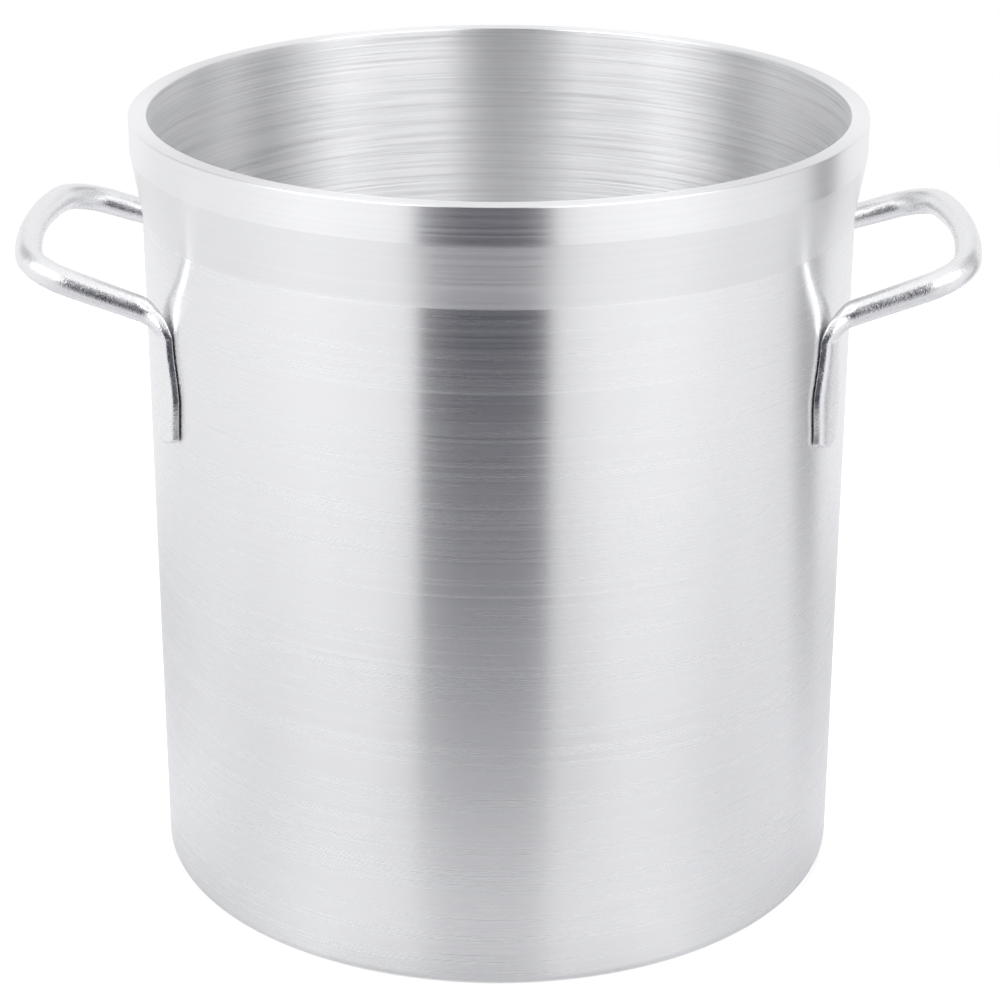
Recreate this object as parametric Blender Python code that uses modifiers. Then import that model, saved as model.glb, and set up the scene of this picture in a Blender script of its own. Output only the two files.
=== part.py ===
"""Aluminium stock pot with two fixed loop handles.

Units are metres, +Z is up. The origin is the centre of the pot's base, on the
surface the pot stands on. The handles lie on the +X and -X sides. The front is
the -Y side.
"""
import math
from collections import namedtuple

import bmesh
import bpy
from mathutils import Matrix, Vector

# ---------------------------------------------------------------- dimensions
# Pot shell: straight wall, thick rim band above a conical step
POT_HEIGHT = 0.400
RIM_RADIUS = 0.184          # outside of the rim band
WALL_RADIUS = 0.179         # outside of the wall
BORE_RADIUS = 0.175         # inside of the wall and of the rim
RIM_BAND = 0.018            # height of the vertical band at the rim
RIM_STEP = 0.0305           # height of the cone between band and wall
BASE_THICKNESS = 0.006
BASE_CORNER = 0.006         # outside radius where wall meets base
FLOOR_CORNER = 0.012        # inside radius where wall meets floor
RIM_EDGE = 0.0008           # small round on both edges of the rim
TURN_STEPS = 80

# Handle rod and the loop it is bent into, which rises outward
ROD = 0.0127                       # diameter
CORNER_SWELL = 0.0008              # extra thickness of the rod at its corners
HANDLE_HEIGHT = 0.3137             # where the loop's sides meet the tongues' line
HANDLE_RISE = math.radians(18.0)   # slope of the loop's plane
SIDE_TAPER = math.radians(5.4)     # how the two sides close towards the grip
SIDE_INSET = 0.0040                # how far each side stands inside its tongue
LOOP_DEPTH = 0.0762                # from the tongues to the middle of the grip
GRIP_BOW = 0.264                   # radius of the slightly bowed grip
LOOP_CORNER = 0.0275               # radius between a side and the grip

# Tongues: the rod's ends, turned down along the wall and pressed flat
LEG_AZIMUTH = math.radians(26.3)   # of each tongue, from the handle's own axis
LEG_GAP = 0.0004                   # between the wall and the tongue's back
TONGUE_THICKNESS = 0.0044
TONGUE_WIDTH = 0.0295
TONGUE_NECK = 0.0195               # width where the bend begins
TONGUE_END = 0.0265                # width at the cut end
TONGUE_BULGE = 0.0038              # how far the cut end bows down at its middle
TONGUE_LEAN = 0.0021               # how much each side recedes at the outer face
TONGUE_BOTTOM = 0.2498             # height of the lowest point of the end
TONGUE_WIDEST = 0.45               # fraction of the way up where it is widest
BULGE_END = 0.5                    # fraction of the way up where the bow is gone

# Bend between tongue and loop. Its back faces the wall and becomes the rod's
# top, its outer side faces away from the wall and becomes the rod's underside.
BEND_BACK = 0.0150                 # radius on the back
BEND_OUTER = 0.0056                # radius on the outer side
BEND_OUTSET = 0.0006               # how far the bend draws away from the wall
# Fractions of the bend's length at which each change starts or is complete
OUTSET_END = 0.3
HUG_END = 0.5                      # section stops following the wall's curve
ROUND_END = 2 / 3                  # section has become round
INSET_END = 0.8
TWIST_START = 0.4                  # section starts turning to face up

# Roundness exponents of the rod's section: 2 is a circle, larger is squarer
ROUND = 2.0
SQUARISH = 8.0

# Resolution of the handle
RING = 20                          # points around the rod
TONGUE_STEPS = 7
BEND_STEPS = 9
CORNER_STEPS = 7
GRIP_STEPS = 3                     # over half the grip
SHARP_ANGLE = math.radians(40)

# Weld nuggets: fused discs behind each tongue, sunk into the tongue's back
WELD_RADIUS = 0.0040
WELD_SINK = 0.0012
WELD_CLEARANCE = 0.0003
WELD_HEIGHTS = (("upper", 0.284), ("lower", 0.264))
DISC_SEGMENTS = 20
POCKET_OVERRUN = 0.001             # how far the pocket cutters reach into the wall

# Derived places on the handle, modelled on the +X side
BACK_RADIUS = WALL_RADIUS + LEG_GAP
LEG_RADIUS = BACK_RADIUS + TONGUE_THICKNESS / 2
LEG_X = LEG_RADIUS * math.cos(LEG_AZIMUTH)
LEG_Y = LEG_RADIUS * math.sin(LEG_AZIMUTH)
UP = Vector((0.0, 0.0, 1.0))
LOOP_UP = Vector((-math.sin(HANDLE_RISE), 0.0, math.cos(HANDLE_RISE)))
TO_WALL = Vector((-math.cos(LEG_AZIMUTH), -math.sin(LEG_AZIMUTH), 0.0))

# ---------------------------------------------------------------- scene set-up
for old in list(bpy.data.objects):
    bpy.data.objects.remove(old, do_unlink=True)


def make_collection(name):
    collection = bpy.data.collections.new(name)
    bpy.context.scene.collection.children.link(collection)
    return collection


def make_metal(name, color, roughness):
    material = bpy.data.materials.new(name)
    material.use_nodes = True
    shader = material.node_tree.nodes["Principled BSDF"]
    shader.inputs["Base Color"].default_value = (*color, 1.0)
    shader.inputs["Metallic"].default_value = 1.0
    shader.inputs["Roughness"].default_value = roughness
    material.diffuse_color = (*color, 1.0)
    return material


PARTS = make_collection("stock_pot")
CUTTERS = make_collection("stock_pot_cutters")

BRUSHED = make_metal("brushed_aluminium", color=(0.80, 0.80, 0.81), roughness=0.32)
SATIN = make_metal("satin_aluminium_rod", color=(0.82, 0.82, 0.83), roughness=0.25)
WELD = make_metal("weld_aluminium", color=(0.62, 0.62, 0.63), roughness=0.55)


def new_object(name, mesh, collection, material=None):
    obj = bpy.data.objects.new(name, mesh)
    collection.objects.link(obj)
    if material is not None:
        mesh.materials.append(material)
    return obj


def mesh_from_bmesh(name, bm):
    mesh = bpy.data.meshes.new(name)
    bm.to_mesh(mesh)
    bm.free()
    return mesh


def lerp(start, end, k):
    return start + (end - start) * k


def ease(k, start=0.0, end=1.0):
    """Smooth step from 0 to 1 while k goes from start to end."""
    x = min(1.0, max(0.0, (k - start) / (end - start)))
    return x * x * (3.0 - 2.0 * x)


# ---------------------------------------------------------------- pot shell
def arc(centre_x, centre_z, radius, start_deg, end_deg, steps):
    """Points on an arc in the XZ half plane, both ends included."""
    points = []
    for i in range(steps + 1):
        angle = math.radians(lerp(start_deg, end_deg, i / steps))
        points.append((centre_x + radius * math.cos(angle),
                       centre_z + radius * math.sin(angle)))
    return points


def pot_profile():
    """(x, z) from the axis across the floor, up the inside, over the rim and down."""
    band_bottom = POT_HEIGHT - RIM_BAND
    wall_top = band_bottom - RIM_STEP
    edge_z = POT_HEIGHT - RIM_EDGE
    mid_floor = BORE_RADIUS / 2
    return [
        (0.0, BASE_THICKNESS),
        (mid_floor, BASE_THICKNESS),
        *arc(BORE_RADIUS - FLOOR_CORNER, BASE_THICKNESS + FLOOR_CORNER,
             FLOOR_CORNER, -90, 0, steps=5),
        (BORE_RADIUS, wall_top),
        *arc(BORE_RADIUS + RIM_EDGE, edge_z, RIM_EDGE, 180, 90, steps=2),
        *arc(RIM_RADIUS - RIM_EDGE, edge_z, RIM_EDGE, 90, 0, steps=2),
        (RIM_RADIUS, band_bottom),
        (WALL_RADIUS, wall_top),
        (WALL_RADIUS, (wall_top + BASE_CORNER) / 2),
        *arc(WALL_RADIUS - BASE_CORNER, BASE_CORNER, BASE_CORNER, 0, -90, steps=4),
        (mid_floor, 0.0),
        (0.0, 0.0),
    ]


def build_pot():
    points = pot_profile()
    mesh = bpy.data.meshes.new("pot_body")
    mesh.from_pydata([(x, 0.0, z) for x, z in points],
                     [(i, i + 1) for i in range(len(points) - 1)], [])
    obj = new_object("pot_body", mesh, PARTS, BRUSHED)
    turn = obj.modifiers.new("turn", "SCREW")
    turn.axis = "Z"
    turn.angle = 2.0 * math.pi
    turn.steps = TURN_STEPS
    turn.render_steps = TURN_STEPS
    turn.use_merge_vertices = True
    turn.merge_threshold = 0.00001
    turn.use_smooth_shade = True


# ---------------------------------------------------------------- handle
# Half a handle is lofted through stations, from the cut end of the +Y tongue
# up the wall, through the bend, along the side, round the corner and on to the
# middle of the grip, at y = 0. The other half mirrors it.
#
# across is the direction of the section's width, face that of its thickness:
# to the wall on a tongue, upward on the loop. power is the roundness exponent,
# bulge bows the cut end, and hug is 1 where the section follows the wall's
# curve and has leaning sides, 0 where it doesn't.
Station = namedtuple("Station", "centre across face width depth power bulge hug",
                     defaults=(ROUND, 0.0, 0.0))


def loop_direction(outward, sideways):
    """Direction in the loop's sloping plane, as a vector in space."""
    return Vector((outward * math.cos(HANDLE_RISE), sideways,
                   outward * math.sin(HANDLE_RISE)))


def loop_point(point):
    """Point (outward, sideways) of the loop's plane, in space."""
    return Vector((LEG_X, 0.0, HANDLE_HEIGHT)) + loop_direction(point.x, point.y)


class Bend:
    """The bend, in the upright plane that holds the loop's straight side.

    Its back and its outer side are two fillets, drawn in that plane as
    (distance out, height). k is the fraction of the way along the bend.
    """

    def __init__(self):
        self.side = loop_direction(math.cos(SIDE_TAPER), -math.sin(SIDE_TAPER)).normalized()
        self.flat = Vector((self.side.x, self.side.y, 0.0))
        self.slope = math.atan2(self.side.z, self.flat.length)
        self.flat.normalize()
        self.sweep = math.pi / 2 - self.slope
        self.along = Vector((math.cos(self.slope), math.sin(self.slope)))
        down = Vector((math.sin(self.slope), -math.cos(self.slope)))

        self.half = TONGUE_THICKNESS / 2
        self.back_centre = self.fillet_centre(-self.half, ROD / 2, BEND_BACK)
        self.outer_centre = self.fillet_centre(self.half, -ROD / 2, BEND_OUTER)
        self.start_height = self.outer_centre.y
        self.back_rise = self.back_centre.y - self.start_height
        # the outer side runs straight until it lies opposite the back's end
        back_end = self.back_centre - down * BEND_BACK
        self.outer_end = self.outer_centre - down * BEND_OUTER
        self.outer_run = (back_end + down * ROD - self.outer_end).dot(self.along)

        # per metre of inset: slides along the wall to meet the side's line
        tangent = math.tan(LEG_AZIMUTH)
        self.slide = Vector((tangent, tangent * self.flat.y / self.flat.x - 1.0,
                             tangent * math.tan(HANDLE_RISE)))

        self.start_twist = self.twist(self.through(0.0), TO_WALL, self.tangent(0.0))
        self.end_twist = self.twist(self.through(1.0), LOOP_UP, -self.side)

    def fillet_centre(self, upright, offset, radius):
        """Centre of the fillet from an upright line to one offset from the side's."""
        distance = upright + radius
        return Vector((distance, HANDLE_HEIGHT + distance * math.tan(self.slope)
                       + (offset - radius) / math.cos(self.slope)))

    def on_back(self, k):
        """Straight up, then round the fillet."""
        travel = k * (self.back_rise + BEND_BACK * self.sweep)
        if travel < self.back_rise:
            return Vector((-self.half, self.start_height + travel))
        angle = (travel - self.back_rise) / BEND_BACK
        return self.back_centre + Vector((-math.cos(angle), math.sin(angle))) * BEND_BACK

    def on_outer(self, k):
        """Round the fillet, then straight along the slope."""
        fillet = BEND_OUTER * self.sweep
        travel = k * (fillet + self.outer_run)
        if travel < fillet:
            angle = travel / BEND_OUTER
            return self.outer_centre + Vector((-math.cos(angle), math.sin(angle))) * BEND_OUTER
        return self.outer_end + self.along * (travel - fillet)

    def in_space(self, point, k):
        return (Vector((LEG_X, LEG_Y, 0.0)) + self.flat * point.x + UP * point.y
                + self.slide * (SIDE_INSET * ease(k, end=INSET_END))
                - TO_WALL * (BEND_OUTSET * ease(k, end=OUTSET_END)))

    def through(self, k):
        """Direction from the outer side to the back."""
        back, outer = self.on_back(k), self.on_outer(k)
        return (self.flat * (back.x - outer.x) + UP * (back.y - outer.y)).normalized()

    def tangent(self, k):
        """Direction of the rod, pointing down towards the tongue."""
        tangent = self.through(k).cross(self.flat.cross(UP)).normalized()
        return -tangent if tangent.z > 0.0 else tangent

    @staticmethod
    def twist(start, end, axis):
        """Signed angle that turns start to end about axis."""
        return math.atan2(start.cross(end).dot(axis), start.dot(end))

    def station(self, k):
        """Section that changes from flat to round while it turns to face up."""
        back = self.in_space(self.on_back(k), k)
        outer = self.in_space(self.on_outer(k), k)
        tangent = self.tangent(k)
        angle = lerp(self.start_twist, self.end_twist, ease(k, start=TWIST_START))
        face = Matrix.Rotation(angle, 3, tangent) @ self.through(k)
        rounding = ease(k, end=ROUND_END)
        return Station((back + outer) / 2, face.cross(tangent), face,
                       width=lerp(TONGUE_NECK, ROD, rounding),
                       depth=(back - outer).length,
                       power=lerp(SQUARISH, ROUND, rounding),
                       hug=1.0 - ease(k, end=HUG_END))


def tongue_stations(top):
    """From the cut end up to just below the bend, which starts at height top."""
    stations = []
    for i in range(TONGUE_STEPS):
        k = i / TONGUE_STEPS
        widened = lerp(TONGUE_END, TONGUE_WIDTH, ease(k, end=TONGUE_WIDEST))
        stations.append(Station(
            Vector((LEG_X, LEG_Y, lerp(TONGUE_BOTTOM, top, k))),
            TO_WALL.cross(-UP), TO_WALL,
            width=lerp(widened, TONGUE_NECK, ease(k, start=TONGUE_WIDEST)),
            depth=TONGUE_THICKNESS,
            power=SQUARISH,
            bulge=TONGUE_BULGE * (1.0 - ease(k, end=BULGE_END)),
            hug=1.0))
    return stations


def loop_station(centre, travel, size):
    """Round section of the loop; travel points on towards the grip's middle."""
    return Station(centre, LOOP_UP.cross(-travel), LOOP_UP, size, size)


def arc_station(centre, radius, angle, size):
    """Section on an arc of the loop, followed with falling angle."""
    cos, sin = math.cos(angle), math.sin(angle)
    return loop_station(loop_point(centre + Vector((cos, sin)) * radius),
                        loop_direction(sin, -cos), size)


def loop_stations(bend):
    """Middle of the straight side, then the corner and half of the grip."""
    along = Vector((math.cos(SIDE_TAPER), -math.sin(SIDE_TAPER)))
    inward = Vector((-math.sin(SIDE_TAPER), -math.cos(SIDE_TAPER)))
    side_start = Vector((0.0, LEG_Y - SIDE_INSET))
    grip_centre = Vector((LOOP_DEPTH - GRIP_BOW, 0.0))

    # the corner's centre moves parallel to the side until the corner's arc
    # touches the grip's arc from inside
    offset = side_start + inward * LOOP_CORNER - grip_centre
    forward = offset.dot(along)
    excess = offset.dot(offset) - (GRIP_BOW - LOOP_CORNER) ** 2
    run = -forward + math.sqrt(forward * forward - excess)
    to_corner = offset + along * run
    corner_centre = grip_centre + to_corner
    corner_start = math.pi / 2 - SIDE_TAPER
    corner_end = math.atan2(to_corner.y, to_corner.x)

    side_end = loop_point(side_start + along * run)
    side_middle = bend.station(1.0).centre.lerp(side_end, 0.5)
    stations = [loop_station(side_middle, bend.side, ROD + CORNER_SWELL / 2)]
    thick = ROD + CORNER_SWELL
    for i in range(CORNER_STEPS + 1):
        angle = lerp(corner_start, corner_end, i / CORNER_STEPS)
        stations.append(arc_station(corner_centre, LOOP_CORNER, angle, thick))
    for i in range(1, GRIP_STEPS + 1):
        k = i / GRIP_STEPS
        stations.append(arc_station(grip_centre, GRIP_BOW, lerp(corner_end, 0.0, k),
                                    lerp(thick, ROD, ease(k))))
    return stations


def handle_stations():
    bend = Bend()
    return (tongue_stations(bend.start_height)
            + [bend.station(i / BEND_STEPS) for i in range(BEND_STEPS + 1)]
            + loop_stations(bend))


def ring_points(station):
    """Superellipse around a station, with its bulge, lean and hug applied."""
    def rounded(value):
        return math.copysign(abs(value) ** (2.0 / station.power), value)

    width, depth = station.width, station.depth
    points = []
    for i in range(RING):
        angle = 2.0 * math.pi * i / RING
        wide = rounded(math.cos(angle)) * width / 2
        deep = rounded(math.sin(angle)) * depth / 2
        rise = station.bulge * (2.0 * wide / width) ** 2
        wide *= 1.0 - station.hug * TONGUE_LEAN * (1.0 - 2.0 * deep / depth) / width
        deep += station.hug * wide * wide / (2.0 * LEG_RADIUS)
        points.append(station.centre + station.across * wide + station.face * deep
                      + UP * rise)
    return points


def close_cut_end(bm, ring):
    """Cap the tongue's cut end with strips across its thickness."""
    half = RING // 2
    bm.faces.new((ring[0], ring[RING - 1], ring[1]))
    for i in range(1, half - 1):
        bm.faces.new((ring[i], ring[RING - i], ring[RING - i - 1], ring[i + 1]))
    bm.faces.new((ring[half - 1], ring[half + 1], ring[half]))


def handle_mesh():
    """Half a handle: a loft from the flat tongue to the round rod."""
    bm = bmesh.new()
    rings = [[bm.verts.new(point) for point in ring_points(station)]
             for station in handle_stations()]
    # the last ring lies exactly on the mirror plane
    for vert in rings[-1]:
        vert.co.y = 0.0
    for low, high in zip(rings, rings[1:]):
        for i in range(RING):
            j = (i + 1) % RING
            bm.faces.new((low[i], low[j], high[j], high[i]))
    close_cut_end(bm, rings[0])
    bmesh.ops.recalc_face_normals(bm, faces=bm.faces)
    return mesh_from_bmesh("handle", bm)


def build_disc(name, radius, inner, outer, azimuth, z, collection, material=None):
    """Round disc from inner to outer distance from the pot's axis, at azimuth."""
    bm = bmesh.new()
    bmesh.ops.create_cone(bm, cap_ends=True, segments=DISC_SEGMENTS, radius1=radius,
                          radius2=radius, depth=outer - inner)
    obj = new_object(name, mesh_from_bmesh(name, bm), collection, material)
    middle = (inner + outer) / 2
    obj.location = (middle * math.cos(azimuth), middle * math.sin(azimuth), z)
    obj.rotation_euler = (0.0, math.pi / 2, azimuth)
    return obj


def cut_weld_pocket(handle, label, azimuth, z):
    cutter = build_disc(f"pocket_{handle.name}_{label}", WELD_RADIUS + WELD_CLEARANCE,
                        WALL_RADIUS - POCKET_OVERRUN, BACK_RADIUS + WELD_SINK,
                        azimuth, z, CUTTERS)
    cutter.hide_render = True
    cutter.display_type = "WIRE"
    cut = handle.modifiers.new(f"pocket_{label}", "BOOLEAN")
    cut.operation = "DIFFERENCE"
    cut.solver = "EXACT"
    cut.object = cutter


def build_handle(name, facing):
    """Handle whose own axis points in the direction facing."""
    obj = new_object(name, handle_mesh(), PARTS, SATIN)
    mirror = obj.modifiers.new("other_half", "MIRROR")
    mirror.use_axis = (False, True, False)
    mirror.use_mirror_merge = True
    mirror.merge_threshold = 0.00005
    obj.rotation_euler = (0.0, 0.0, facing)
    for side, sign in (("a", 1), ("b", -1)):
        for level, z in WELD_HEIGHTS:
            cut_weld_pocket(obj, f"{side}_{level}", facing + sign * LEG_AZIMUTH, z)
    obj.data.shade_smooth()
    obj.data.set_sharp_from_angle(angle=SHARP_ANGLE)


def build_welds(hand, facing, front_sign):
    """Four welds of one handle; front_sign turns from facing towards the front."""
    for side, sign in (("front", front_sign), ("back", -front_sign)):
        for level, z in WELD_HEIGHTS:
            build_disc(f"weld_{hand}_{side}_{level}", WELD_RADIUS,
                       WALL_RADIUS + WELD_CLEARANCE,
                       BACK_RADIUS + WELD_SINK - WELD_CLEARANCE,
                       facing + sign * LEG_AZIMUTH, z, PARTS, WELD)


build_pot()
for hand, facing, front_sign in (("right", 0.0, -1), ("left", math.pi, 1)):
    build_handle(f"handle_{hand}", facing)
    build_welds(hand, facing, front_sign)
bpy.context.view_layer.update()
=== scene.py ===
"""Looks of the aluminium stock pot: spun shell, forged loop handles, studio.

The pot stands on z = 0 with its axis on Z. The handles lie at +X (right) and
-X (left), and the camera looks from -Y.
"""
import math
from collections import namedtuple

import bmesh
import bpy
from mathutils import Matrix, Vector


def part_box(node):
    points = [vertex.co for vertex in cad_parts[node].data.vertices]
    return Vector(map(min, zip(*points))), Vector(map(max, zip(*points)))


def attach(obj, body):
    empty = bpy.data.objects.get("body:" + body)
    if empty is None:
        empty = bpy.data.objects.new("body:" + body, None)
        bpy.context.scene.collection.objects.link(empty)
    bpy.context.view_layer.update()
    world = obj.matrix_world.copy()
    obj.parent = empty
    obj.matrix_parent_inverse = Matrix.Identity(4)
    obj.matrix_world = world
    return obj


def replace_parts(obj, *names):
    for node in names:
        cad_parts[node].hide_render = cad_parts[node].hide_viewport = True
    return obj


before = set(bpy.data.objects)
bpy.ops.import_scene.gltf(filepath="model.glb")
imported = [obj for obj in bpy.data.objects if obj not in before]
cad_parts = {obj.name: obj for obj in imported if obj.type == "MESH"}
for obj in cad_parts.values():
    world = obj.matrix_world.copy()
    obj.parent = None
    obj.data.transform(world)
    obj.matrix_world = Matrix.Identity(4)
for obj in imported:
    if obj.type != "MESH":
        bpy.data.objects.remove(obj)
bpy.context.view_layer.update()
scene = bpy.context.scene

# ------------------------------------------------------------------ sizes
pot_low, pot_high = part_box("pot_body")
TOP = pot_high.z
RIM_R = (pot_high.x - pot_low.x) / 2
WALL_R = RIM_R - 0.005
BORE_R = RIM_R - 0.009
BAND_Z = TOP - 0.018              # lower edge of the vertical band at the rim
CONE_Z = TOP - 0.0485             # where the cone meets the wall
FLOOR_Z = 0.006
TURNS = 420                       # facets round the shell
LONGEST_FACE = 0.012              # along the shell's profile
SUPPORT = 0.0004                  # from a round to the support point beside it

ROD = 0.0127                      # diameter
CORNER_SWELL = 0.0008             # added to the rod at the loop's corners
RING = 56                         # points round the rod
LEG_AZIMUTH = math.radians(26.3)
LEG_GAP = 0.0004                  # between wall and tongue
# The tongue is the flattened leg end that stands against the wall
TONGUE_THICKNESS = 0.0044
TONGUE_WIDTH = 0.0295             # at its widest
TONGUE_NECK = 0.0195              # width at the top
TONGUE_END = 0.0265               # width at the cut end
TONGUE_BULGE = 0.0038             # drop of the end's middle below its sides
TONGUE_LEAN = 0.0021              # each side draws in by this towards the outer face
TONGUE_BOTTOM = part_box("handle_right")[0].z
TONGUE_EDGE = 0.0009              # round of the cut end
FACE_POWER = 3.6                  # squareness of the tongue's outer face
BACK_POWER = 12.0                 # squareness of its back
HANDLE_HEIGHT = 0.3137            # of the loop's plane at the legs
HANDLE_RISE = math.radians(18.0)
SIDE_TAPER = math.radians(5.4)
SIDE_INSET = 0.0040               # loop sides, from the legs to the mirror plane
SIDE_OUTSET = 0.0006              # loop sides, away from the wall
LOOP_DEPTH = 0.0762
LOOP_CORNER = 0.0275              # radius
GRIP_BOW = 0.264                  # radius
BEND_BACK = 0.0150                # radius of the bend's wall side
BEND_FRONT = 0.0056               # radius of its outer side
WELD_RADIUS = 0.0040
WELD_SINK = 0.0012
WELD_CLEARANCE = 0.0003
WELD_HEIGHTS = (0.284, 0.264)
POCKET_OVERLAP = 0.001            # reach of a pocket cutter behind the wall's face

BACK_RADIUS = WALL_R + LEG_GAP
LEG_RADIUS = BACK_RADIUS + TONGUE_THICKNESS / 2
LEG_X = LEG_RADIUS * math.cos(LEG_AZIMUTH)
LEG_Y = LEG_RADIUS * math.sin(LEG_AZIMUTH)
UP = Vector((0.0, 0.0, 1.0))
TO_WALL = Vector((-math.cos(LEG_AZIMUTH), -math.sin(LEG_AZIMUTH), 0.0))
LOOP_UP = Vector((-math.sin(HANDLE_RISE), 0.0, math.cos(HANDLE_RISE)))


def smoothstep(x):
    x = min(1.0, max(0.0, x))
    return x * x * (3.0 - 2.0 * x)


def lerp(start, end, share):
    return start + (end - start) * share


def place(name, data):
    """New object in the scene."""
    obj = bpy.data.objects.new(name, data)
    scene.collection.objects.link(obj)
    return obj


def mesh_from(grid, name):
    """Turn a bmesh into a mesh and free it."""
    mesh = bpy.data.meshes.new(name)
    grid.to_mesh(mesh)
    grid.free()
    return mesh


def level_ring(grid, radius, z, count):
    angles = [2.0 * math.pi * k / count for k in range(count)]
    return [grid.verts.new((radius * math.cos(angle), radius * math.sin(angle), z))
            for angle in angles]


# ------------------------------------------------------------------ node tools
class Net:
    """Short calls that add shader nodes to a material or world."""

    def __init__(self, owner):
        owner.use_nodes = True
        self.tree = owner.node_tree
        self.tree.nodes.clear()

    def put(self, socket, value):
        if isinstance(value, bpy.types.NodeSocket):
            self.tree.links.new(value, socket)
        elif value is not None:
            socket.default_value = value

    def add(self, kind, inputs=(), **props):
        """inputs is a dict by socket name, or a sequence in socket order."""
        node = self.tree.nodes.new(kind)
        for key, value in props.items():
            setattr(node, key, value)
        for key, value in inputs.items() if isinstance(inputs, dict) else enumerate(inputs):
            self.put(node.inputs[key], value)
        return node

    def math(self, operation, *values, clamp=False):
        return self.add("ShaderNodeMath", values, operation=operation,
                        use_clamp=clamp).outputs[0]

    def sum(self, first, second):
        return self.math("ADD", first, second)

    def sub(self, first, second):
        return self.math("SUBTRACT", first, second)

    def mul(self, first, second):
        return self.math("MULTIPLY", first, second)

    def mul_add(self, value, factor, base):
        return self.math("MULTIPLY_ADD", value, factor, base)

    def between(self, start, end, share):
        return self.mul_add(self.sub(end, start), share, start)

    def vary(self, noise, by, around):
        """Swing a value around a middle with a noise that runs from 0 to 1."""
        return self.mul_add(self.sub(noise, 0.5), by, around)

    def length(self, x, y):
        return self.math("SQRT", self.sum(self.mul(x, x), self.mul(y, y)))

    def split(self, vector):
        return self.add("ShaderNodeSeparateXYZ", [vector]).outputs

    def rgb(self, *channels):
        return self.add("ShaderNodeCombineColor", channels, mode="RGB").outputs[0]

    def where(self, kind="Object"):
        return self.add("ShaderNodeTexCoord").outputs[kind]

    def noise(self, vector, scale, detail, rough, distortion=0.0):
        return self.add("ShaderNodeTexNoise", {
            "Vector": vector, "Scale": scale, "Detail": detail,
            "Roughness": rough, "Distortion": distortion,
        }, noise_dimensions="3D").outputs["Fac"]

    def remap(self, value, low, high, to_low=0.0, to_high=1.0, kind="LINEAR"):
        return self.add("ShaderNodeMapRange", (value, low, high, to_low, to_high),
                        interpolation_type=kind).outputs[0]

    def ease(self, value, low, high, to_low=0.0, to_high=1.0):
        return self.remap(value, low, high, to_low, to_high, "SMOOTHSTEP")

    def bump(self, height, distance, normal=None):
        return self.add("ShaderNodeBump", {"Height": height, "Distance": distance,
                                           "Strength": 1.0, "Normal": normal}).outputs[0]

    def surface(self, shader):
        self.add("ShaderNodeOutputMaterial", [shader.outputs[0]])

    def principled(self, inputs):
        self.surface(self.add("ShaderNodeBsdfPrincipled", inputs))


# ------------------------------------------------------------------ materials
def brushed(name, layers, *, tone, contrast, rough, spread, relief, fleck, haze, haze_lines):
    """Aluminium with lines turned round the axis.

    layers holds (turns, per metre, detail, weight) for each set of lines.
    tone and rough are the middle brightness and roughness. contrast is how
    much the lines change the colour, spread the roughness and relief the
    slope of the surface. fleck is how much single scratches darken it. haze
    is the share of light that the fine scratches throw in all directions, and
    haze_lines how much it varies from line to line, which shows where the
    metal mirrors something dark.
    """
    mat = bpy.data.materials.new(name)
    net = Net(mat)
    x, y, _ = net.split(net.where())
    radius = net.math("MAXIMUM", net.length(x, y), 0.0005)
    run = net.add("ShaderNodeAttribute", attribute_name="profile_run").outputs["Fac"]
    round_x, round_y = net.math("DIVIDE", x, radius), net.math("DIVIDE", y, radius)

    def lines(around, along, detail, shift):
        """Noise stretched round the axis; shift keeps the sets apart."""
        spot = (net.mul_add(round_x, around, shift), net.mul(round_y, around),
                net.mul(run, along))
        return net.noise(net.add("ShaderNodeCombineXYZ", spot).outputs[0],
                         scale=1.0, detail=detail, rough=0.55)

    total, height = 0.0, 0.0
    for index, (around, along, detail, weight) in enumerate(layers):
        line = net.sub(lines(around, along, detail, 7.3 * index), 0.5)
        total = net.mul_add(line, weight, total)
        if along < 1000.0:        # finer lines give no relief
            height = net.mul_add(line, weight / along, height)
    cloud = lines(around=2.2, along=14.0, detail=1.0, shift=41.7)
    # a few deeper single scratches that follow the turning
    scratch = net.remap(lines(around=3.5, along=1900.0, detail=0.0, shift=61.0), 0.78, 0.90)

    value = net.mul_add(total, contrast, tone)
    value = net.vary(cloud, by=0.025, around=value)
    value = net.mul_add(scratch, -fleck, value)
    roughness = net.mul_add(total, spread, rough)
    net.principled({
        # a trace more blue than red
        "Base Color": net.rgb(net.mul(value, 0.998), value, net.mul(value, 1.002)),
        "Metallic": net.math("MULTIPLY_ADD", total, -haze_lines, 1.0 - haze, clamp=True),
        "Roughness": net.mul_add(scratch, 0.10, roughness),
        "Anisotropic": 1.0,
        "Anisotropic Rotation": 0.25,
        "Tangent": net.add("ShaderNodeTangent", direction_type="RADIAL", axis="Z").outputs[0],
        "Normal": net.bump(height, distance=relief)})
    return mat


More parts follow.
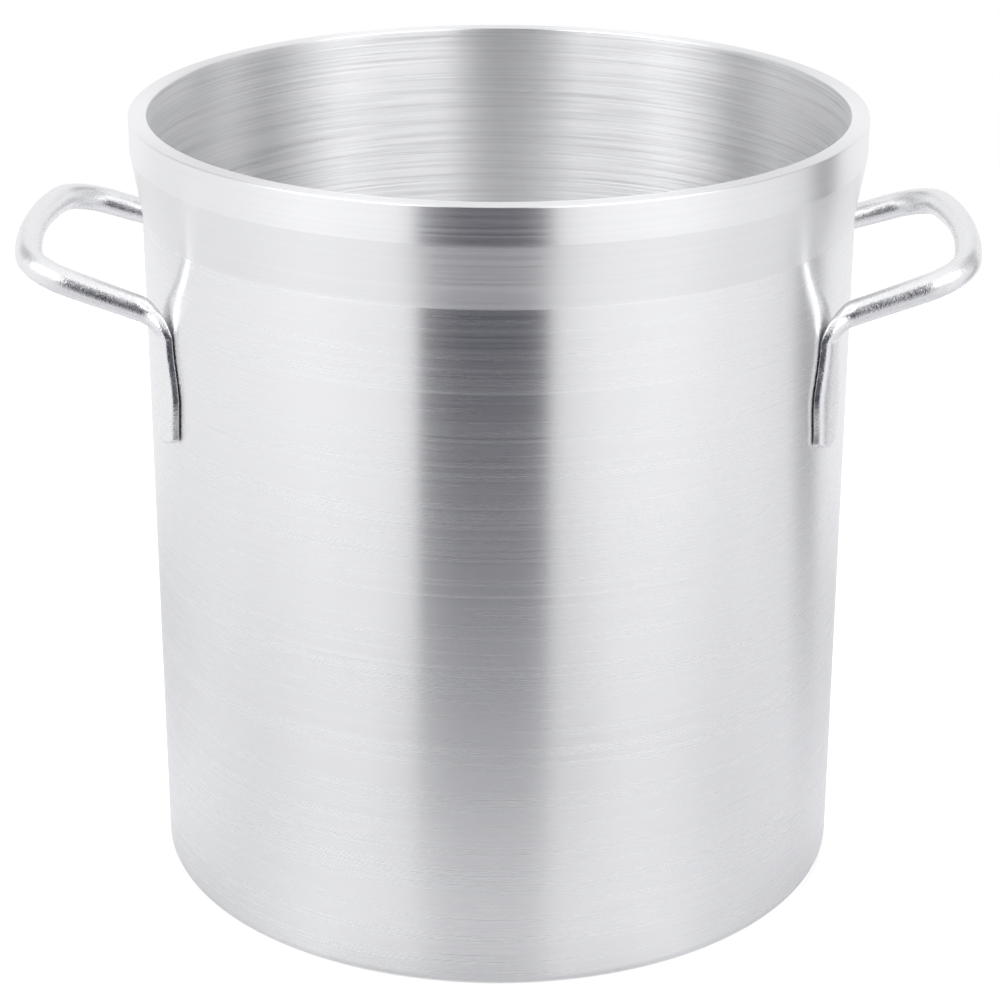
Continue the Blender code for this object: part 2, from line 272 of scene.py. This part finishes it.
def satin_rod(name):
    """Tumbled aluminium rod: pale satin with a fine mottled grain."""
    mat = bpy.data.materials.new(name)
    net = Net(mat)
    where = net.where()
    grain = net.noise(where, scale=1100.0, detail=1.0, rough=0.6)
    patch = net.noise(where, scale=240.0, detail=3.0, rough=0.6, distortion=0.4)
    wave = net.noise(where, scale=42.0, detail=1.0, rough=0.5)
    # only the peaks of this noise become pits
    pits = net.remap(net.noise(where, scale=620.0, detail=1.0, rough=0.5), 0.66, 0.74)
    value = net.vary(patch, by=0.07, around=0.89)
    value = net.vary(grain, by=0.06, around=value)
    value = net.mul_add(pits, -0.04, value)             # pits are darker
    tint = (0.996, 0.998, 1.004)
    roughness = net.vary(patch, by=0.17, around=0.272)
    normal = net.bump(wave, distance=0.00050)
    normal = net.bump(patch, distance=0.00008, normal=normal)
    net.principled({
        "Base Color": net.rgb(*(net.mul(value, channel) for channel in tint)),
        "Metallic": 1.0,
        "Roughness": net.mul_add(pits, 0.12, roughness),   # and rougher
        "Normal": net.bump(grain, distance=0.00011, normal=normal)})
    return mat


def fused_metal(name):
    """Weld nugget: rippled, duller, slightly oxidised aluminium."""
    mat = bpy.data.materials.new(name)
    net = Net(mat)
    where = net.where()
    lumps = net.noise(where, scale=420.0, detail=3.0, rough=0.6, distortion=0.8)
    soot = net.remap(net.noise(where, scale=160.0, detail=2.0, rough=0.5), 0.35, 0.7)
    clean, sooty = (0.70, 0.70, 0.71, 1.0), (0.47, 0.47, 0.49, 1.0)
    color = net.add("ShaderNodeMix", {"Factor": soot, "A": clean, "B": sooty},
                    data_type="RGBA").outputs["Result"]
    net.principled({
        "Base Color": color,
        "Metallic": 1.0,
        "Roughness": net.remap(lumps, 0.3, 0.7, to_low=0.38, to_high=0.62),
        "Normal": net.bump(lumps, distance=0.0002)})
    return mat


# Sets of lines: turns, per metre, detail, weight
LINES = ((0.35, 1080.0, 1.0, 1.0), (0.55, 1600.0, 0.0, 0.5), (0.30, 520.0, 0.0, 0.35))
INSIDE_LINES = ((2.2, 950.0, 0.0, 1.0), (1.1, 430.0, 1.0, 0.75), (0.6, 190.0, 1.0, 0.25))
BASE_LINES = ((2.6, 800.0, 2.0, 1.0), (5.0, 1400.0, 0.0, 0.6), (1.2, 240.0, 1.0, 0.8))

OUTSIDE = brushed("pot_outside_brushed", LINES, tone=0.905, contrast=0.03, rough=0.265,
                  spread=0.05, relief=0.0045, fleck=0.008, haze=0.022, haze_lines=0.13)
RIM = brushed("pot_rim_brushed", LINES, tone=0.93, contrast=0.04, rough=0.30,
              spread=0.06, relief=0.006, fleck=0.015, haze=0.050, haze_lines=0.100)
CONE = brushed("pot_cone_brushed", LINES, tone=0.93, contrast=0.05, rough=0.36,
               spread=0.06, relief=0.008, fleck=0.015, haze=0.19, haze_lines=0.32)
INSIDE = brushed("pot_inside_turned", INSIDE_LINES, tone=0.964, contrast=0.28, rough=0.33,
                 spread=0.14, relief=0.080, fleck=0.03, haze=0.015, haze_lines=0.10)
UNDERSIDE = brushed("pot_base_turned", BASE_LINES, tone=0.88, contrast=0.08, rough=0.34,
                    spread=0.08, relief=0.030, fleck=0.08, haze=0.04, haze_lines=0.10)
SHELL_METALS = (OUTSIDE, INSIDE, UNDERSIDE, RIM, CONE)
SATIN = satin_rod("handle_satin_rod")
WELD = fused_metal("weld_fused_metal")

# ------------------------------------------------------------------ pot shell
# Corners of the half section, from the middle of the floor over the rim to
# the middle of the base: x, z, rounding radius, steps, metal up to the corner
SHELL_CORNERS = (
    (0.0, FLOOR_Z, 0, 0, INSIDE),
    (BORE_R, FLOOR_Z, 0.012, 14, INSIDE),
    (BORE_R, TOP, 0.0008, 5, INSIDE),
    (RIM_R, TOP, 0.0008, 5, RIM),
    (RIM_R, BAND_Z, 0.0030, 2, RIM),
    (WALL_R, CONE_Z, 0.0040, 2, CONE),
    (WALL_R, 0.0, 0.0060, 10, OUTSIDE),
    (0.0, 0.0, 0, 0, UNDERSIDE),
)


def rounded_profile(corners):
    """Points (place, metal) of the outline with rounded corners.

    A close support point beside each round keeps the shading of the flats
    from leaning into it.
    """
    points = []
    for i, (x, z, radius, steps, metal) in enumerate(corners):
        here = Vector((x, z))
        if i in (0, len(corners) - 1):
            points.append((here, metal))
            continue
        back = (Vector(corners[i - 1][:2]) - here).normalized()
        ahead = (Vector(corners[i + 1][:2]) - here).normalized()
        angle = back.angle(ahead)
        cut = radius / math.tan(angle / 2)
        middle = here + (back + ahead).normalized() * (radius / math.sin(angle / 2))
        first, last = here + back * cut, here + ahead * cut
        start = math.atan2(first.y - middle.y, first.x - middle.x)
        end = math.atan2(last.y - middle.y, last.x - middle.x)
        turn = (end - start + math.pi) % (2 * math.pi) - math.pi
        points.append((first + back * SUPPORT, metal))
        for k in range(steps + 1):
            angle = start + turn * k / steps
            points.append((middle + Vector((math.cos(angle), math.sin(angle))) * radius, metal))
        points.append((last + ahead * SUPPORT, metal))
    # the long flats are split so that no face is a long sliver
    split = [points[0]]
    for (start, _), (end, metal) in zip(points, points[1:]):
        pieces = max(1, math.ceil((end - start).length / LONGEST_FACE))
        for k in range(1, pieces + 1):
            split.append((start.lerp(end, k / pieces), metal))
    return split


def build_shell():
    """Turn the profile; profile_run is each point's distance along it."""
    profile = rounded_profile(SHELL_CORNERS)
    grid = bmesh.new()
    layer = grid.verts.layers.float.new("profile_run")
    run = 0.0
    rings = []
    for i, (point, _) in enumerate(profile):
        if i:
            run += (point - profile[i - 1][0]).length
        if point.x < 1e-7:
            ring = [grid.verts.new((0.0, 0.0, point.y))]
        else:
            ring = level_ring(grid, point.x, point.y, TURNS)
        for vert in ring:
            vert[layer] = run
        rings.append(ring)
    for low, high, (_, metal) in zip(rings, rings[1:], profile[1:]):
        slot = SHELL_METALS.index(metal)
        for k in range(TURNS):
            j = (k + 1) % TURNS
            if len(low) == 1:
                face = grid.faces.new((low[0], high[k], high[j]))
            elif len(high) == 1:
                face = grid.faces.new((low[k], high[0], low[j]))
            else:
                face = grid.faces.new((low[k], high[k], high[j], low[j]))
            face.material_index = slot
            face.smooth = True
    bmesh.ops.recalc_face_normals(grid, faces=grid.faces)
    mesh = mesh_from(grid, "pot_shell")
    for metal in SHELL_METALS:
        mesh.materials.append(metal)
    return place("pot_shell", mesh)


# ------------------------------------------------------------------ handles
# A cross-section of the rod. heading points back to the cut end; normal points
# to the wall on the leg and up on the loop. The powers are the squareness of
# the half on the normal's side and of the other half; 2 is round. hug is the
# share of the tongue's bend round the pot.
Station = namedtuple("Station", "centre normal heading width depth back_power face_power "
                     "bulge hug", defaults=(2.0, 2.0, 0.0, 0.0))


def loop_point(outward, sideways):
    """Place of a point given in the loop's plane."""
    return Vector((LEG_X + outward * math.cos(HANDLE_RISE), sideways,
                   HANDLE_HEIGHT + outward * math.sin(HANDLE_RISE)))


def loop_layout():
    """Side, corner and grip in the loop's plane, each tangent to the next.

    Returns the side's direction and length, then (centre, start angle, end
    angle) of the corner and of the half grip.
    """
    along = Vector((math.cos(SIDE_TAPER), -math.sin(SIDE_TAPER)))
    inward = Vector((-math.sin(SIDE_TAPER), -math.cos(SIDE_TAPER)))
    grip_centre = Vector((LOOP_DEPTH - GRIP_BOW, 0.0))
    start = Vector((0.0, LEG_Y - SIDE_INSET)) + inward * LOOP_CORNER
    from_grip = start - grip_centre
    reach = from_grip.dot(along)
    power = from_grip.dot(from_grip) - (GRIP_BOW - LOOP_CORNER) ** 2
    run = -reach + math.sqrt(reach * reach - power)
    corner_centre = start + along * run
    touch = (corner_centre - grip_centre).normalized()
    touch_angle = math.atan2(touch.y, touch.x)
    return (along, run, (corner_centre, math.atan2(-inward.y, -inward.x), touch_angle),
            (grip_centre, touch_angle, 0.0))


def bend_paths(slope):
    """Wall side and outer side of the bend, and the height where it starts.

    The paths lie in an upright plane: x outwards from the leg's middle, y up.
    """
    half = TONGUE_THICKNESS / 2
    down = Vector((math.sin(slope), -math.cos(slope)))
    outward = Vector((math.cos(slope), math.sin(slope)))

    def fillet_centre(line, offset, radius):
        x = line + radius
        return Vector((x, HANDLE_HEIGHT + x * math.tan(slope) + offset / math.cos(slope)))

    back_centre = fillet_centre(-half, ROD / 2 - BEND_BACK, BEND_BACK)
    front_centre = fillet_centre(half, -ROD / 2 - BEND_FRONT, BEND_FRONT)
    sweep = math.pi / 2 - slope
    rise = back_centre.y - front_centre.y
    back_end = back_centre - down * BEND_BACK
    front_end = front_centre - down * BEND_FRONT
    front_run = (back_end + down * ROD - front_end).dot(outward)

    def on_back(share):           # straight up, then round
        gone = share * (rise + BEND_BACK * sweep)
        if gone < rise:
            return Vector((-half, front_centre.y + gone))
        angle = (gone - rise) / BEND_BACK
        return back_centre + Vector((-math.cos(angle), math.sin(angle))) * BEND_BACK

    def on_front(share):          # round, then straight outwards
        gone = share * (BEND_FRONT * sweep + front_run)
        if gone < BEND_FRONT * sweep:
            angle = gone / BEND_FRONT
            return front_centre + Vector((-math.cos(angle), math.sin(angle))) * BEND_FRONT
        return front_end + outward * (gone - BEND_FRONT * sweep)

    return on_back, on_front, front_centre.y


def tongue_stations(top, end_steps=5, steps=40):
    """Rounded cut end, then the flat tongue up to where the bend starts."""
    stations = []
    for k in range(end_steps):
        angle = math.pi / 2 * k / end_steps
        shrink = TONGUE_EDGE * (1.0 - math.sin(angle))
        z = TONGUE_BOTTOM + TONGUE_EDGE * (1.0 - math.cos(angle))
        stations.append(Station(Vector((LEG_X, LEG_Y, z)), TO_WALL, -UP,
                                TONGUE_END - 2 * shrink, TONGUE_THICKNESS - 2 * shrink,
                                BACK_POWER, FACE_POWER, TONGUE_BULGE, 1.0))
    for i in range(steps):
        share = i / steps
        z = lerp(TONGUE_BOTTOM + TONGUE_EDGE, top, share)
        widen = smoothstep(share / 0.45)
        neck = smoothstep((share - 0.45) / 0.55)
        width = lerp(lerp(TONGUE_END, TONGUE_WIDTH, widen), TONGUE_NECK, neck)
        stations.append(Station(Vector((LEG_X, LEG_Y, z)), TO_WALL, -UP,
                                width, TONGUE_THICKNESS, BACK_POWER, FACE_POWER,
                                TONGUE_BULGE * (1.0 - smoothstep(share / 0.5)), 1.0))
    return stations


def bend_stations(side, flat, on_back, on_front, steps=44):
    """From flat tongue to round rod, turning from the wall into the loop."""
    tan_leg = math.tan(LEG_AZIMUTH)
    # towards the mirror plane, within the loop's plane
    slide = Vector((tan_leg, tan_leg * flat.y / flat.x - 1.0,
                    tan_leg * math.tan(HANDLE_RISE)))

    def in_space(point, share):
        return (Vector((LEG_X, LEG_Y, 0.0)) + flat * point.x + UP * point.y
                + slide * (SIDE_INSET * smoothstep(share / 0.8))
                - TO_WALL * (SIDE_OUTSET * smoothstep(share / 0.3)))

    def twist_between(start, end, axis):
        return math.atan2(start.cross(end).dot(axis), start.dot(end))

    stations = []
    last = (in_space(on_back(1.0), 1.0) - in_space(on_front(1.0), 1.0)).normalized()
    twist_top = twist_between(last, LOOP_UP, -side)
    for i in range(steps + 1):
        share = i / steps
        back, front = in_space(on_back(share), share), in_space(on_front(share), share)
        through = (back - front).normalized()
        heading = through.cross(flat.cross(UP)).normalized()
        if heading.z > 0.0:
            heading.negate()
        if i == 0:
            twist_leg = twist_between(through, TO_WALL, heading)
        twist = lerp(twist_leg, twist_top, smoothstep((share - 0.4) / 0.6))
        rounding = smoothstep(share * 1.5)
        stations.append(Station((back + front) / 2,
                                Matrix.Rotation(twist, 3, heading) @ through, heading,
                                lerp(TONGUE_NECK, ROD, rounding), (back - front).length,
                                lerp(BACK_POWER, 2.0, rounding ** 0.5),
                                lerp(FACE_POWER, 2.0, rounding), 0.0,
                                1.0 - smoothstep(share * 2.0)))
    return stations


def loop_stations(side, side_start, side_end, corner, grip, steps=6):
    """Straight side, corner and half grip of round rod."""
    thick = ROD + CORNER_SWELL
    stations = []
    for i in range(1, steps):
        size = lerp(ROD, thick, smoothstep(i / steps))
        stations.append(Station(side_start.lerp(side_end, i / steps), LOOP_UP, -side,
                                size, size))
    # arc, radius, rod at its end, first step, steps
    for (centre, start, end), radius, end_size, first, count in (
            (corner, LOOP_CORNER, thick, 0, 30), (grip, GRIP_BOW, ROD, 1, 12)):
        for i in range(first, count + 1):
            angle = lerp(start, end, i / count)
            point = loop_point(centre.x + radius * math.cos(angle),
                               centre.y + radius * math.sin(angle))
            heading = Vector((-math.sin(angle) * math.cos(HANDLE_RISE), math.cos(angle),
                              -math.sin(angle) * math.sin(HANDLE_RISE)))
            size = lerp(thick, end_size, smoothstep(i / count))
            stations.append(Station(point, LOOP_UP, heading, size, size))
    return stations


def handle_stations():
    """Sections from the cut end to the middle of the grip."""
    along, run, corner, grip = loop_layout()
    side = Vector((along.x * math.cos(HANDLE_RISE), along.y,
                   along.x * math.sin(HANDLE_RISE))).normalized()
    flat = Vector((side.x, side.y, 0.0))
    on_back, on_front, bend_start = bend_paths(math.atan2(side.z, flat.length))
    stations = tongue_stations(bend_start)
    stations += bend_stations(side, flat.normalized(), on_back, on_front)
    side_end = loop_point(along.x * run, LEG_Y - SIDE_INSET + along.y * run)
    return stations + loop_stations(side, stations[-1].centre, side_end, corner, grip)


def section_point(station, angle):
    """Point of a section, a superellipse that hugs the pot on the tongue."""
    cosine, sine = math.cos(angle), math.sin(angle)
    width, depth, hug = station.width, station.depth, station.hug
    power = station.back_power if sine > 0 else station.face_power
    aside = math.copysign(abs(cosine) ** (2.0 / power), cosine) * width / 2
    inward = math.copysign(abs(sine) ** (2.0 / power), sine) * depth / 2
    rise = station.bulge * (2.0 * aside / width) ** 2
    aside *= 1.0 - hug * TONGUE_LEAN * (1.0 - 2.0 * inward / depth) / width
    inward += hug * aside * aside / (2.0 * LEG_RADIUS)
    across = station.normal.cross(station.heading)
    point = station.centre + across * aside + station.normal * inward
    point.z += rise
    return point


def half_loop_mesh():
    """The +Y half of the right handle, open at the mirror plane."""
    grid = bmesh.new()
    stations = handle_stations()
    rings = []
    for station in stations:
        points = [section_point(station, 2.0 * math.pi * i / RING) for i in range(RING)]
        if station is stations[-1]:
            for point in points:
                point.y = 0.0
        rings.append([grid.verts.new(point) for point in points])
    for low, high in zip(rings, rings[1:]):
        for i in range(RING):
            j = (i + 1) % RING
            grid.faces.new((low[i], low[j], high[j], high[i]))
    # cap of the cut end, in strips across the section
    first = rings[0]
    half = RING // 2
    grid.faces.new((first[0], first[RING - 1], first[1]))
    for i in range(1, half - 1):
        grid.faces.new((first[i], first[RING - i], first[RING - i - 1], first[i + 1]))
    grid.faces.new((first[half - 1], first[half + 1], first[half]))
    bmesh.ops.recalc_face_normals(grid, faces=grid.faces)
    return mesh_from(grid, "loop_half")


def pocket_cutter(sign, z):
    """Round cutter that clears a weld between the wall and a tongue."""
    grid = bmesh.new()
    radius = WELD_RADIUS + WELD_CLEARANCE
    bmesh.ops.create_cone(grid, cap_ends=True, segments=40, radius1=radius, radius2=radius,
                          depth=LEG_GAP + POCKET_OVERLAP + WELD_SINK)
    cutter = place("pocket", mesh_from(grid, "pocket"))
    middle = (WALL_R - POCKET_OVERLAP + BACK_RADIUS + WELD_SINK) / 2
    cutter.location = (middle * math.cos(LEG_AZIMUTH), sign * middle * math.sin(LEG_AZIMUTH), z)
    cutter.rotation_euler = (0.0, math.pi / 2, sign * LEG_AZIMUTH)
    return cutter


def build_handle(name, facing):
    """Mirror the half loop, cut the pockets and turn it to its side."""
    work = place("loop_work", half_loop_mesh())
    mirror = work.modifiers.new("other_half", "MIRROR")
    mirror.use_axis = (False, True, False)
    mirror.merge_threshold = 0.00002
    helpers = [work]
    for sign in (1, -1):
        for z in WELD_HEIGHTS:
            cutter = pocket_cutter(sign, z)
            cut = work.modifiers.new("pocket", "BOOLEAN")
            cut.operation = "DIFFERENCE"
            cut.solver = "EXACT"
            cut.object = cutter
            helpers.append(cutter)
    bpy.context.view_layer.update()
    done = bpy.data.meshes.new_from_object(
        work.evaluated_get(bpy.context.evaluated_depsgraph_get()))
    for helper in helpers:
        bpy.data.objects.remove(helper, do_unlink=True)
    done.name = name
    done.transform(Matrix.Rotation(facing, 4, "Z"))
    done.materials.clear()
    done.materials.append(SATIN)
    done.shade_smooth()
    done.set_sharp_from_angle(angle=math.radians(50))
    return place(name, done)


shell = build_shell()
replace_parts(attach(shell, "root"), "pot_body")
for name, node, facing in (("loop_handle_right", "handle_right", 0.0),
                           ("loop_handle_left", "handle_left", math.pi)):
    loop = build_handle(name, facing)
    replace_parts(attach(loop, "root"), node)
for node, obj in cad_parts.items():
    if node.startswith("weld_"):
        obj.data.materials.clear()
        obj.data.materials.append(WELD)

# ------------------------------------------------------------------ camera
CAMERA_BACK = 7.5623 * RIM_R
CAMERA_UP = 4.0584 * RIM_R
# radians
CAMERA_ORBIT = 0.0126             # round the pot's axis
CAMERA_PAN = -0.0007
CAMERA_TILT = 0.3822              # down from level
CAMERA_ROLL = 0.0025

cam_data = bpy.data.cameras.new("studio_camera")
cam_data.sensor_width = 36.0
cam_data.lens = 102.42
cam_data.clip_start = 0.01
cam = place("studio_camera", cam_data)
cam.matrix_world = (
    Matrix.Rotation(CAMERA_ORBIT, 4, "Z")
    @ Matrix.Translation((0.0, -CAMERA_BACK, CAMERA_UP))
    @ Matrix.Rotation(CAMERA_PAN, 4, "Z")
    @ Matrix.Rotation(math.pi / 2 - CAMERA_TILT, 4, "X")
    @ Matrix.Rotation(CAMERA_ROLL, 4, "Z"))
scene.camera = cam

# ------------------------------------------------------------------ light tent
# Brightness round the tent, near the horizon and higher up: (azimuth in
# degrees from the camera's side, positive to the right; brightness)
TENT_LOW = (
    (-180, 0.93), (-144, 0.94), (-121, 0.91), (-104, 0.92), (-90, 0.94), (-78, 0.92),
    (-66, 0.89), (-55, 0.86), (-45, 0.82), (-35, 0.79), (-29, 0.77), (-26, 0.68),
    (-24, 0.37), (-22, 0.03), (-19, 0.01), (-12, 0.005), (9, 0.005), (13, 0.015), (16, 0.23),
    (20, 0.67), (30, 0.79), (40, 0.82), (50, 0.86), (60, 0.89), (71, 0.92), (83, 0.92),
    (96, 0.85), (107, 0.78), (114, 0.40), (120, 0.34), (127, 0.76), (134, 0.90),
    (144, 0.93), (180, 0.93))
TENT_HIGH = (
    (-180, 0.92), (-160, 0.88), (-148, 0.58), (-118, 0.54), (-104, 0.70), (-94, 0.76),
    (-84, 1.50), (-70, 2.60), (-60, 2.90), (-50, 2.75), (-38, 2.58), (-28, 2.40),
    (-22, 1.82), (-16, 0.55), (-10, 0.08), (7, 0.05), (12, 0.62), (18, 1.92), (26, 2.50),
    (45, 2.75), (55, 2.90), (64, 2.55), (76, 1.42), (88, 0.60), (97, 0.72), (104, 0.72),
    (116, 0.50), (148, 0.54), (160, 0.88), (180, 0.92))
CURVE_TOP = 3.4                   # brightness at the top of the curves
OVERHEAD = 1.0
# A little blue light from everywhere, which tints the dark parts
TENT_TINT = (0.0, 0.001, 0.020)


def round_the_tent(net, azimuth, stops):
    node = net.add("ShaderNodeFloatCurve")
    curve = node.mapping.curves[0]
    while len(curve.points) < len(stops):
        curve.points.new(0.5, 0.5)
    for point, (degrees, brightness) in zip(curve.points, stops):
        point.location = ((degrees + 180.0) / 360.0, brightness / CURVE_TOP)
        point.handle_type = "AUTO_CLAMPED"
    node.mapping.update()
    net.put(node.inputs["Value"], net.remap(azimuth, -180.0, 180.0))
    return net.mul(node.outputs[0], CURVE_TOP)


def light_tent():
    """Sky that lights the pot; the camera itself sees plain white."""
    world = bpy.data.worlds.new("light_tent")
    scene.world = world
    net = Net(world)
    x, y, z = net.split(net.where("Generated"))
    azimuth = net.math("DEGREES", net.math("ARCTAN2", x, net.mul(y, -1.0)))
    elevation = net.math("DEGREES", net.math("ARCSINE", z))
    # degrees of elevation where one part passes into the next
    high_share = net.ease(elevation, 6.0, 32.0)
    sides = net.between(round_the_tent(net, azimuth, TENT_LOW),
                        round_the_tent(net, azimuth, TENT_HIGH), high_share)
    glow = net.between(sides, OVERHEAD, net.ease(elevation, 42.0, 64.0))
    seen = net.add("ShaderNodeLightPath").outputs["Is Camera Ray"]
    strength = net.between(glow, 1.0, seen)
    unseen = net.sub(1.0, seen)
    sky = net.rgb(*(net.mul_add(unseen, tint, strength) for tint in TENT_TINT))
    background = net.add("ShaderNodeBackground", {"Color": sky})
    net.add("ShaderNodeOutputWorld", [background.outputs[0]])


# ------------------------------------------------------------------ table
TABLE_Z = -0.0002
TABLE_RADII = (0.178, 0.20, 0.26, 0.34, 0.45, 0.6, 0.8, 1.1, 1.5, 2.0, 3.0)
TABLE_TURNS = 96
TABLE_SEEN = 1.22                 # shade seen by the camera
TABLE_TINT = (0.0, 0.0, 0.012)    # blue painted into the table only where the pot mirrors it


def pale_table():
    """Paper that fades out with distance, with painted shade where the pot mirrors it."""
    mat = bpy.data.materials.new("pale_table")
    net = Net(mat)
    where = net.where()
    x, y, _ = net.split(where)
    radius = net.length(x, y)
    seen = net.add("ShaderNodeLightPath").outputs["Is Camera Ray"]
    back = net.add("ShaderNodeNewGeometry").outputs["Backfacing"]
    # radii where the sheet turns clear; its underside is always clear
    fade_seen = net.ease(radius, 0.45, 1.5)
    fade_lit = net.ease(radius, 0.58, 0.78)
    fade = net.math("MAXIMUM", net.between(fade_lit, fade_seen, seen), back)
    paper = net.noise(where, scale=900.0, detail=2.0, rough=0.6)

    # 1 towards the camera's side, -1 away from it
    ahead = net.math("DIVIDE", net.mul(y, -1.0), radius)
    aside = net.ease(ahead, 0.96, 0.82)
    # painted shadow: darker at the pot's foot, less so at the sides
    foot = net.ease(radius, 0.18, 0.28, to_low=-0.28, to_high=0.0)
    foot = net.mul(foot, net.mul_add(aside, -0.75, 1.0))
    # painted light: brighter to the sides further out, and towards the back
    sides = net.mul(aside, net.ease(radius, 0.24, 0.50, to_low=-0.06, to_high=0.52))
    sides = net.sum(sides, net.ease(ahead, 0.60, -0.10, to_low=0.0, to_high=0.24))
    # painted shade in what the pot mirrors: darkens outwards, then lifts a little
    painted_mirror_shade = net.ease(radius, 0.20, 0.46, to_low=0.785, to_high=0.405)
    painted_mirror_shade = net.mul(painted_mirror_shade, net.sum(foot, 1.0))
    painted_mirror_shade = net.mul_add(net.ease(radius, 0.46, 0.62), 0.05, painted_mirror_shade)
    painted_mirror_shade = net.mul(painted_mirror_shade, net.sum(sides, 1.0))
    # the camera sees the table evenly bright, the pot's reflections see the painted shade
    shade = net.between(painted_mirror_shade, TABLE_SEEN, seen)
    shade = net.mul_add(paper, 0.03, shade)
    unseen = net.sub(1.0, seen)
    pale = net.rgb(*(net.mul_add(unseen, tint, shade) for tint in TABLE_TINT))
    diffuse = net.add("ShaderNodeBsdfDiffuse", {"Color": pale})
    clear = net.add("ShaderNodeBsdfTransparent")
    net.surface(net.add("ShaderNodeMixShader", (fade, diffuse.outputs[0], clear.outputs[0])))
    return mat


def build_table():
    """Ring-shaped sheet round the pot's foot."""
    grid = bmesh.new()
    rings = [level_ring(grid, radius, TABLE_Z, TABLE_TURNS) for radius in TABLE_RADII]
    for inner, outer in zip(rings, rings[1:]):
        for k in range(TABLE_TURNS):
            j = (k + 1) % TABLE_TURNS
            grid.faces.new((inner[k], outer[k], outer[j], inner[j]))
    mesh = mesh_from(grid, "studio_table")
    table = place("studio_table", mesh)
    mesh.materials.append(pale_table())
    return table


light_tent()
build_table()

scene.view_settings.view_transform = "Standard"
scene.view_settings.look = "None"
scene.cycles.glossy_bounces = 12
scene.cycles.max_bounces = 16
scene.cycles.transparent_max_bounces = 16
